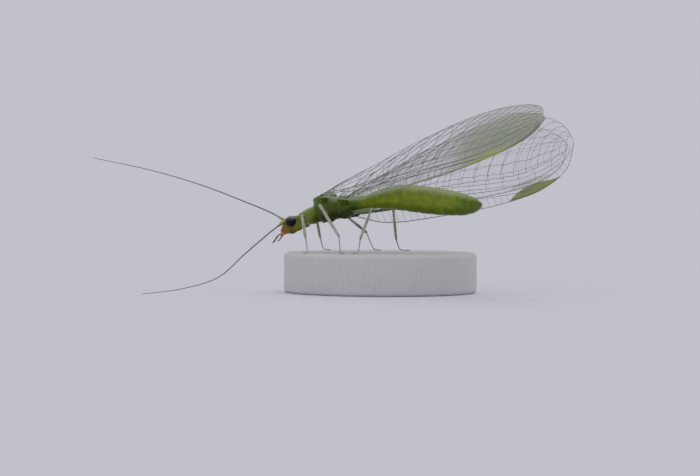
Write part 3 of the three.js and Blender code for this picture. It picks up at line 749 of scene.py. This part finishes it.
# Mouthparts: an upper lip, two short jaws and four jointed palps hang from the face. They are
# amber at the root and browner towards their tips.
AMBER = (0.42, 0.17, 0.02, 1)
GREY_BROWN = (0.12, 0.10, 0.075, 1)
PALPS = [
    [(-5.93, 0.16, 1.16), (-6.17, 0.24, 1.0), (-6.35, 0.26, 0.76), (-6.5, 0.26, 0.54)],
    [(-5.85, 0.1, 1.1), (-5.98, 0.14, 0.88), (-6.1, 0.14, 0.74), (-6.18, 0.14, 0.64)],
]
PALP_RADII = (0.0272, 0.034, 0.0306)
PALP_SHADES = (0.5, 0.8, 1.0)
JAW = [(-5.88, 0.16, 1.1), (-5.98, 0.13, 0.96), (-6.02, 0.04, 0.88)]
JAW_RADII = (0.09, 0.07, 0.03)
LIP = [(-5.94, -0.12, 1.07), (-6.0, 0, 1.03), (-5.94, 0.12, 1.07)]
LIP_RADII = (0.07, 0.09, 0.07)
mouth_skin = limb_surface("mouth_skin", AMBER, GREY_BROWN)
strands = [(*rounded(LIP, LIP_RADII), 0.0)]
for side in (-1, 1):
    for palp in PALPS:
        joints = [Vector((x, y * side, z)) for x, y, z in palp]
        for shade, a, b in zip(PALP_SHADES, joints, joints[1:]):
            strands.append((*rounded([a, a.lerp(b, 0.5), b], PALP_RADII), shade))
    jaw = [Vector((x, y * side, z)) for x, y, z in JAW]
    strands.append((*rounded(jaw, JAW_RADII), 0.0))
mouth = tubes("mouthparts", strands, mouth_skin, 10)
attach(mouth, "root")
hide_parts("head")


# Legs: six thin walking legs, each a femur, a tibia and a foot of five small joints that ends
# in two hooked claws. The femur is green, and the rest pales to grey.
LEG_GREEN = (0.13, 0.19, 0.045, 1)
LEG_GREY = (0.34, 0.365, 0.25, 1)
FEMUR_RADIUS = 0.1
FEMUR_PROFILE = (0.85, 1.05, 1.0, 1.08, 1.0, 0.8)
FEMUR_SHADE = 0.1
FEMUR_SUNK = 0.05
TIBIA_RADIUS = 0.1
TIBIA_PROFILE = (0.85, 0.8, 0.95, 1.0, 0.95, 0.9)
TIBIA_SHADE = 0.85
FOOT_RADIUS = 0.05
FOOT_JOINTS = 5
FOOT_JOINT_PROFILE = (0.7, 0.85, 0.95, 1.05, 1.1)
FOOT_TAPER = 0.3
CLAW_LENGTH = 0.11
CLAW_RADII = (0.022, 0.021, 0.018, 0.014, 0.009, 0.003)
PAD_RADII = (0.03, 0.028)
SOLE_DROP = 0.45
leg_skin = limb_surface("leg_skin", LEG_GREEN, LEG_GREY)


def leg_strands(hip, knee, ankle, sole, toe):
    hip, knee, ankle, sole, toe = (Vector(p) for p in (hip, knee, ankle, sole, toe))
    sole.z *= SOLE_DROP
    toe.z = FOOT_RADIUS
    start = hip - (knee - hip).normalized() * FEMUR_SUNK
    strands = []
    for a, b, radius, profile, shade in (
        (start, knee, FEMUR_RADIUS, FEMUR_PROFILE, FEMUR_SHADE),
        (knee, ankle, TIBIA_RADIUS, TIBIA_PROFILE, TIBIA_SHADE),
    ):
        points = [a.lerp(b, i / (len(profile) - 1)) for i in range(len(profile))]
        strands.append((*rounded(points, [radius * p for p in profile]), shade))
    steps = len(FOOT_JOINT_PROFILE) - 1
    foot = smooth_line([ankle, sole, toe], FOOT_JOINTS * steps)
    for k in range(FOOT_JOINTS):
        points = foot[k * steps : (k + 1) * steps + 1]
        thin = FOOT_RADIUS * (1 - FOOT_TAPER * k / FOOT_JOINTS)
        strands.append((*rounded(points, [thin * p for p in FOOT_JOINT_PROFILE]), 1.0))
    run = (foot[-1] - foot[-2]).normalized()
    aside = run.cross(Vector((0, 0, 1))).normalized()
    for side in (-1, 1):
        bend = toe + run * CLAW_LENGTH * 0.5 + aside * side * 0.05 + Vector((0, 0, 0.02))
        tip = toe + run * CLAW_LENGTH + aside * side * 0.07 - Vector((0, 0, 0.035))
        strands.append((smooth_line([toe, bend, tip], len(CLAW_RADII) - 1), CLAW_RADII, 1.0))
    pad = [toe + run * 0.02, toe + run * 0.07 - Vector((0, 0, 0.02))]
    strands.append((*rounded(pad, PAD_RADII), 1.0))
    return strands


for name, points in LEGS.items():
    leg = tubes(name + "_leg", leg_strands(*points), leg_skin, 12)
    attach(leg, "root")
    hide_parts(name + "_femur", name + "_tibia", name + "_tarsus")


# Wings: four clear, stiff membranes a few thousandths of a millimetre thick, held out by a net
# of hollow veins. Long veins run from root to tip, a ladder of cross veins stands behind the
# front edge, which has a long yellow-green mark, and branches fork before the back margin.
FOREWING_LENGTH = 15.3
HINDWING_LENGTH = 13.5
MEMBRANE_THICKNESS = 0.012
MEMBRANE_STEPS = 110
MEMBRANE_ROWS = 28
CAMBER = 0.2
CAMBER_START = 0.25  # the arch grows from the root up to here
FORE_FRONT = [
    (0.0, 0.014), (0.026, 0.026), (0.1, 0.075), (0.2, 0.122), (0.42, 0.15), (0.66, 0.16),
    (0.84, 0.139), (0.95, 0.08),
]
FORE_BACK = [
    (0.0, -0.01), (0.026, -0.02), (0.2, -0.084), (0.42, -0.163), (0.68, -0.202), (0.88, -0.157),
    (0.975, -0.09),
]
HIND_FRONT = [
    (0.0, 0.012), (0.026, 0.024), (0.1, 0.044), (0.2, 0.069), (0.4, 0.099), (0.66, 0.123),
    (0.84, 0.115), (0.95, 0.068),
]
HIND_BACK = [
    (0.0, -0.012), (0.026, -0.026), (0.2, -0.1), (0.42, -0.157), (0.68, -0.182), (0.88, -0.132),
    (0.975, -0.062),
]
WING_TIP = (1, -0.016)
TIP_START = 0.88  # from here the two edges curve round to meet at the tip
EDGE_STEPS = 400
MARGIN_STEPS = 120

# Long veins: where each starts and ends along the wing, and its depth from the front edge, 0,
# to the back edge, 1, at each quarter of its length.
SUBCOSTA = (0.0, 0.8, (0.4, 0.24, 0.17, 0.11, 0.05))
RADIUS_VEIN = (0.0, 0.97, (0.5, 0.33, 0.22, 0.15, 0.2))
SECTOR = (0.1, 0.98, (0.42, 0.39, 0.33, 0.27, 0.36))
SECTOR_ROOT = [(0.1, 0.33), (0.135, 0.39)]
SECTOR_ZIGZAG = 0.006
MEDIA_START = [(0.0, 0.62), (0.06, 0.6), (0.12, 0.6)]
CUBITUS_START = [(0.0, 0.76), (0.06, 0.78), (0.13, 0.8)]
REAR_VEINS = [
    [(0.0, 0.88), (0.06, 0.9), (0.14, 0.91), (0.2, 1.0)],
    [(0.0, 0.95), (0.05, 0.96), (0.1, 1.0)],
]
LONG_STEPS = 30
DEPTH_STEPS = 60

# The branches of the sector sweep back to the margin. Rows of cross veins join them, at these
# shares of a branch's own length, and each row starts at the branch given with it. Values
# under False are a forewing's, and those under True a hindwing's.
BRANCHES = {False: 16, True: 13}
FIRST_BRANCH = 0.17
BRANCH_SPAN = 0.77
BRANCH_STEPS = 10
BRANCH_SWEEP = 1.8
BRANCH_BOW = 1.35
MEDIA_SHARE = 0.36
CUBITUS_SHARE = 0.68
FORK_SHARE = 0.86
FORK_SPREAD = 0.25
ROWS = {
    False: ((MEDIA_SHARE, 0), (CUBITUS_SHARE, 0), (0.17, 3), (0.52, 6)),
    True: ((MEDIA_SHARE, 0), (CUBITUS_SHARE, 0), (0.17, 3), (0.52, 5)),
}
ROW_STAGGER = 0.025
ROW_SLANT = 0.04

# The ladder behind the front edge, and under the mark, where its first rungs are short.
LADDER = (0.04, 0.72)
LADDER_RUNGS = {False: 27, True: 20}
LADDER_LEAN = 0.003
MARK_LADDER = (0.745, 0.955)
MARK_RUNGS = 15
SHORT_RUNGS = 10
SHORT_RUNG = 0.6
SECTOR_LADDER = (0.15, 0.95)
SECTOR_RUNGS = 13
RUNG_LEAN = 0.008

# Radii of each kind of vein, in millimetres, at the wing's root and at its tip.
CORD_RADII = {
    "edge": (0.046, 0.028),
    "long": (0.036, 0.02),
    "branch": (0.022, 0.016),
    "cross": (0.016, 0.014),
}
HIND_CORD_SCALE = 0.8
VEIN_SHADES = {"edge": 0.35, "long": 0.35, "branch": 0.8, "cross": 0.8}
DARK_FROM = 0.6
STEPS_ALONG = 60
STEPS_ACROSS = 18


class Wing:
    """A wing's curved sheet, with places given as shares along it and back from its front edge."""

    def __init__(self, pair_name, hind):
        self.root, self.along, self.front, self.outward = wing_frame(pair_name, hind)
        self.length = HINDWING_LENGTH if hind else FOREWING_LENGTH
        self.stem = 0 if hind else WING_PAIRS[pair_name]["stem"]
        ends = (HIND_FRONT, HIND_BACK) if hind else (FORE_FRONT, FORE_BACK)
        self.edges = [self.edge(knots) for knots in ends]

    def edge(self, knots):
        line = smooth_line([*knots, WING_TIP], EDGE_STEPS)
        reached = [p.x for p in line]
        turned = [p for p in line if p.x > TIP_START]
        whole = sum((b - a).length for a, b in zip(turned, turned[1:]))
        gone = 0.0
        for k in range(len(line) - len(turned), len(line)):
            reached[k] = TIP_START + (1 - TIP_START) * gone / whole
            if k + 1 < len(line):
                gone += (line[k + 1] - line[k]).length
        return reached, [p.x for p in line], [p.y for p in line]

    def flat(self, along, depth):
        ends = [(np.interp(along, e[0], e[1]), np.interp(along, e[0], e[2])) for e in self.edges]
        return [float(a + (b - a) * depth) for a, b in zip(*ends)]

    def at(self, along, depth, lift=0.0):
        """The place in millimetres, lifted out of the membrane's middle."""
        x, y = (v * self.length for v in self.flat(along, depth))
        share = min(1.0, max(0.0, x / STEM_LENGTH))
        stem = self.stem * (1 - share * share * (3 - 2 * share))
        camber = CAMBER * min(1.0, along / CAMBER_START)
        height = camber * (math.sin(math.pi * depth) * (1 - along**4) - 0.5) - stem + lift
        return self.root + self.along * x + self.front * y + self.outward * height


def depth_on(vein, along):
    start, end, depths = vein
    knots = [(start + (end - start) * i / 4, depth) for i, depth in enumerate(depths)]
    return across_line(smooth_line(knots, DEPTH_STEPS), along)


def branch_place(u, v):
    """A place on the branches: u runs from the first branch to the last, v from root to margin."""
    start = FIRST_BRANCH + BRANCH_SPAN * u
    top = depth_on(SECTOR, start)
    end = 1 - (1 - start) ** BRANCH_SWEEP
    return start + (end - start) * v**BRANCH_BOW, top + (1 - top) * v


def evenly(ends, count):
    return np.linspace(*ends, count).tolist()


def branch_veins(hind):
    """The sector, its branches with their forks, and the rows of cross veins between them."""
    count = BRANCHES[hind]
    cell = 1 / (count - 1)
    sector = list(SECTOR_ROOT)
    for k in range(2 * count - 1):
        along, depth = branch_place(k * cell / 2, 0)
        sector.append((along, depth + (SECTOR_ZIGZAG if k % 2 else -SECTOR_ZIGZAG)))
    net = [(sector, "long")]
    net.append(([*MEDIA_START, branch_place(0, MEDIA_SHARE)], "branch"))
    net.append(([*CUBITUS_START, branch_place(0, CUBITUS_SHARE)], "branch"))
    for k in range(count):
        u = k * cell
        shares = [FORK_SHARE * i / BRANCH_STEPS for i in range(BRANCH_STEPS + 1)]
        net.append(([branch_place(u, share) for share in shares], "branch"))
        for spread in (-FORK_SPREAD, FORK_SPREAD):
            end = branch_place(min(max(u + spread * cell, 0), 1), 1)
            net.append(([branch_place(u, FORK_SHARE), end], "cross"))
        if k + 1 == count:
            break
        step = ROW_STAGGER * (k % 2)
        for share, first in ROWS[hind]:
            if k >= first:
                end = branch_place(u + cell, share + ROW_SLANT - step)
                net.append(([branch_place(u, share + step), end], "cross"))
    return net


def ladder_rungs(hind):
    """The cross veins between the front edge and the long veins, and those near the root."""
    rungs = []
    for along in evenly(LADDER, LADDER_RUNGS[hind]):
        rungs.append([(along + LADDER_LEAN, 0), (along - LADDER_LEAN, depth_on(SUBCOSTA, along))])
    for i, along in enumerate(evenly(MARK_LADDER, MARK_RUNGS)):
        depth = depth_on(RADIUS_VEIN, along) * (SHORT_RUNG if i < SHORT_RUNGS else 1)
        rungs.append([(along + 0.008, 0), (along - 0.006, depth)])
    for along in (0.08, 0.2):
        rungs.append([(along, depth_on(SUBCOSTA, along)), (along, depth_on(RADIUS_VEIN, along))])
    for along in evenly(SECTOR_LADDER, SECTOR_RUNGS):
        start = (along, depth_on(RADIUS_VEIN, along))
        rungs.append([start, (along + RUNG_LEAN, depth_on(SECTOR, along))])
    for along in (0.06, 0.11):
        rungs.append([(along, depth_on(RADIUS_VEIN, along)), (along + RUNG_LEAN, 0.6)])
    for along in (0.05, 0.09, 0.13, 0.17):
        rungs.append([(along, 0.6), (along + 0.01, 0.79)])
    for along, end in ((0.06, 0.9), (0.1, 0.9), (0.14, 0.9), (0.17, 1.0), (0.2, 1.0), (0.23, 1.0)):
        rungs.append([(along, 0.79), (along + 0.018, end)])
    return rungs


def vein_net(hind):
    """The veins of a wing as rows of places, each with its kind."""
    net = []
    for vein in (SUBCOSTA, RADIUS_VEIN):
        places = evenly(vein[:2], LONG_STEPS + 1)
        net.append(([(along, depth_on(vein, along)) for along in places], "long"))
    net += branch_veins(hind)
    net += [(rung, "cross") for rung in ladder_rungs(hind)]
    net += [(vein, "branch") for vein in REAR_VEINS]
    return net


def wing_strands(wing, hind):
    strands = []
    for places, kind in vein_net(hind):
        fine = []
        for (along, depth), (next_along, next_depth) in zip(places, places[1:]):
            run, fall = next_along - along, next_depth - depth
            steps = max(2, round(STEPS_ALONG * abs(run) + STEPS_ACROSS * abs(fall)))
            fine += [(along + run * t / steps, depth + fall * t / steps) for t in range(steps)]
        fine.append(places[-1])
        first, last = (radius * (HIND_CORD_SCALE if hind else 1) for radius in CORD_RADII[kind])
        radii = [first + (last - first) * along for along, _ in fine]
        shade = VEIN_SHADES[kind]
        shades = [shade + (1 - shade) * min(1.0, along / DARK_FROM) for along, _ in fine]
        strands.append(([wing.at(*place) for place in fine], radii, shades))
    margins = ((0.0, CORD_RADII["edge"], VEIN_SHADES["edge"]), (1.0, CORD_RADII["branch"], 1.0))
    for depth, (first, last), shade in margins:
        shares = [i / MARGIN_STEPS for i in range(MARGIN_STEPS + 1)]
        radii = [first + (last - first) * share for share in shares]
        strands.append(([wing.at(share, depth) for share in shares], radii, shade))
    return strands


def membrane(name, wing):
    """A closed sheet with an outer and an inner face, and shares along and across it."""
    points, along, across = [], [], []
    for face in (1, -1):
        for i in range(MEMBRANE_STEPS):
            for j in range(MEMBRANE_ROWS + 1):
                share, depth = i / MEMBRANE_STEPS, j / MEMBRANE_ROWS
                points.append(on_base(wing.at(share, depth, face * MEMBRANE_THICKNESS / 2)))
                along.append(share)
                across.append(depth)
        points.append(on_base(wing.at(1, 0.5, face * MEMBRANE_THICKNESS / 2)))
        along.append(1.0)
        across.append(0.5)
    row = MEMBRANE_ROWS + 1
    tip = MEMBRANE_STEPS * row
    whole = tip + 1
    last = tip - row
    faces = []
    for i in range(MEMBRANE_STEPS - 1):
        for j in range(MEMBRANE_ROWS):
            a = i * row + j
            b = a + row
            faces.append((a, a + 1, b + 1, b))
            faces.append((whole + a, whole + b, whole + b + 1, whole + a + 1))
    for a in range(last, tip - 1):
        faces.append((a, a + 1, tip))
        faces.append((whole + a + 1, whole + a, whole + tip))
    for j in (0, MEMBRANE_ROWS):
        for a in range(j, last, row):
            faces.append((a, a + row, whole + a + row, whole + a))
        faces.append((last + j, tip, whole + tip, whole + last + j))
    for j in range(MEMBRANE_ROWS):
        faces.append((j, j + 1, whole + j + 1, whole + j))
    sheet = new_object(name, points, faces)
    store(sheet, "along", along)
    store(sheet, "across", across)
    made = bmesh.new()
    made.from_mesh(sheet.data)
    bmesh.ops.recalc_face_normals(made, faces=made.faces)
    made.to_mesh(sheet.data)
    made.free()
    return sheet


MEMBRANE_TINT = (0.26, 0.30, 0.195, 1)
MARK_GREEN = (0.23, 0.29, 0.045, 1)
MARK_MIDDLE = 0.8
MARK_REACH = 0.108
MARK_DEPTH = 0.115
MARK_EDGE = (-0.006, 0.012)
MARK_ALPHA = {False: 0.85, True: 0.3}
CLEAR_ALPHA = 0.06
# Painted glare: the outer part of each wing is made more opaque and milky, as if it caught the light, by
# this share of its full strength. The near, left wings get the most.
GLARE_EDGE = (0.45, 0.75)
GLARE_ALPHA = 0.8
PAINTED_GLARE = {
    ("left", False): 0.45,
    ("left", True): 1.0,
    ("right", False): 0.1,
    ("right", True): 0.05,
}
VEIN_GREEN = (0.17, 0.235, 0.08, 1)
VEIN_DARK = (0.11, 0.125, 0.095, 1)
clear, clear_tree, clear_shader = new_surface(
    "clear_membrane", Roughness=0.28, Specular_IOR_Level=0.5, Thin_Film_Thickness=380.0,
    Thin_Film_IOR=1.5,
)


def maths(tree, operation, first, second):
    return node(tree, "ShaderNodeMath", {0: first, 1: second}, operation=operation).outputs[0]


def ramp(tree, value, ends, first=0.0, last=1.0):
    """A soft rise from the first value to the last between two ends."""
    low, high = ends
    values = {"Value": value, "From Min": low, "From Max": high, "To Min": first, "To Max": last}
    return node(tree, "ShaderNodeMapRange", values, interpolation_type="SMOOTHSTEP").outputs[0]


# The mark is a lens behind the front edge: it narrows to a point at both ends.
along = attribute_of(clear_tree, "along")
across = attribute_of(clear_tree, "across")
away = maths(clear_tree, "DIVIDE", maths(clear_tree, "SUBTRACT", along, MARK_MIDDLE), MARK_REACH)
width = maths(clear_tree, "SUBTRACT", 1.0, maths(clear_tree, "MULTIPLY", away, away))
inside = maths(clear_tree, "SUBTRACT", maths(clear_tree, "MULTIPLY", width, MARK_DEPTH), across)
mark = ramp(clear_tree, inside, MARK_EDGE)
tint = mixed(clear_tree, mark, MEMBRANE_TINT, MARK_GREEN)
clear_tree.links.new(tint, clear_shader.inputs["Base Color"])
# Painted glare: each wing turns more opaque and milky towards its outer part, by its own share.
outer_part = ramp(clear_tree, along, GLARE_EDGE)
painted_glare = maths(clear_tree, "MULTIPLY", outer_part, attribute_of(clear_tree, "painted_glare"))
opacity = ramp(clear_tree, painted_glare, (0.0, 1.0), CLEAR_ALPHA, GLARE_ALPHA)
mark_alpha = maths(clear_tree, "MULTIPLY", mark, attribute_of(clear_tree, "mark"))
alpha = maths(clear_tree, "MAXIMUM", opacity, mark_alpha)
clear_tree.links.new(alpha, clear_shader.inputs["Alpha"])
vein_skin, vein_tree, vein_shader = new_surface("vein_skin", Specular_IOR_Level=0.4, Roughness=0.5)
vein_color = mixed(vein_tree, attribute_of(vein_tree, "shade"), VEIN_GREEN, VEIN_DARK)
vein_tree.links.new(vein_color, vein_shader.inputs["Base Color"])

for pair_name in WING_PAIRS:
    for hind in (False, True):
        label = ("hindwing_" if hind else "forewing_") + pair_name
        wing = Wing(pair_name, hind)
        sheet = membrane(label + "_membrane", wing)
        # Each wing's share of the painted glare.
        store(sheet, "painted_glare", [PAINTED_GLARE[pair_name, hind]] * len(sheet.data.vertices))
        store(sheet, "mark", [MARK_ALPHA[hind]] * len(sheet.data.vertices))
        sheet.data.materials.append(clear)
        net = tubes(label + "_veins", wing_strands(wing, hind), vein_skin, 6)
        for piece in (sheet, net):
            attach(piece, "root")
            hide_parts(label)


# Floor and light: a pale shelf that curves up into a wall all round, soft light from the sky and
# a wide lamp above and behind, a faint lamp in front, and a camera low at the insect's left.
# Lengths here are metres.
FLOOR_RADIUS = 0.22
FLOOR_MIDDLE = 0.002
WALL_RADIUS = 1.5
WALL_HEIGHT = 1.2
WALL_STEPS = 16
SHELF_SIDES = 96
FLOOR_TINT = (0.615, 0.605, 0.715, 1)
SKY_TINT = (0.86, 0.87, 0.94, 1)
SKY_STRENGTH = 0.75
LAMPS = {
    "sky": {"place": (0.3, 0.5, 1.9), "size": 1.8, "power": 34.0},
    "fill": {"place": (-0.5, -1.0, 0.9), "size": 0.8, "power": 3.0},
}
LAMP_TARGET = (0, 0, 0.005)
CAMERA_PLACE = (0.020576, -0.149858, 0.009869)
CAMERA_TARGET = (-0.001820, 0.0, 0.003253)
CAMERA_LENS = 130
SENSOR_WIDTH = 36
profile = [(FLOOR_MIDDLE, 0.0), (FLOOR_RADIUS, 0.0)]
for step in range(1, WALL_STEPS + 1):
    turn = math.pi / 2 * step / WALL_STEPS
    reach = FLOOR_RADIUS + (WALL_RADIUS - FLOOR_RADIUS) * math.sin(turn)
    profile.append((reach, WALL_HEIGHT * (1 - math.cos(turn))))
turns = [2 * math.pi * i / SHELF_SIDES for i in range(SHELF_SIDES)]
shelf_points = [
    Vector((reach * math.cos(turn), reach * math.sin(turn), height))
    for reach, height in profile for turn in turns
]
shelf_faces = [tuple(range(SHELF_SIDES - 1, -1, -1))]
for inner in range(0, len(shelf_points) - SHELF_SIDES, SHELF_SIDES):
    outer = inner + SHELF_SIDES
    for i in range(SHELF_SIDES):
        j = (i + 1) % SHELF_SIDES
        shelf_faces.append((inner + i, inner + j, outer + j, outer + i))
shelf = new_object("studio_shelf", shelf_points, shelf_faces)
shelf_paint, _, shelf_shader = new_surface("shelf_paint", Specular_IOR_Level=0.1, Roughness=0.9)
shelf_shader.inputs["Base Color"].default_value = FLOOR_TINT
shelf.data.materials.append(shelf_paint)

world = bpy.data.worlds.new("studio")
world.use_nodes = True
sky = world.node_tree.nodes["Background"].inputs
sky["Color"].default_value = SKY_TINT
sky["Strength"].default_value = SKY_STRENGTH
scene.world = world


def aimed(name, data, place, target):
    """An object at a place that looks at its target."""
    obj = bpy.data.objects.new(name, data)
    obj.location = place
    obj.rotation_euler = (Vector(target) - Vector(place)).to_track_quat("-Z", "Y").to_euler()
    scene.collection.objects.link(obj)
    return obj


for name, values in LAMPS.items():
    light = bpy.data.lights.new(name, "AREA")
    light.size = values["size"]
    light.energy = values["power"]
    aimed(name, light, values["place"], LAMP_TARGET)

camera_data = bpy.data.cameras.new("camera")
camera_data.lens = CAMERA_LENS
camera_data.sensor_width = SENSOR_WIDTH
camera_data.clip_start = 0.001
camera_data.clip_end = 20
scene.camera = aimed("camera", camera_data, CAMERA_PLACE, CAMERA_TARGET)
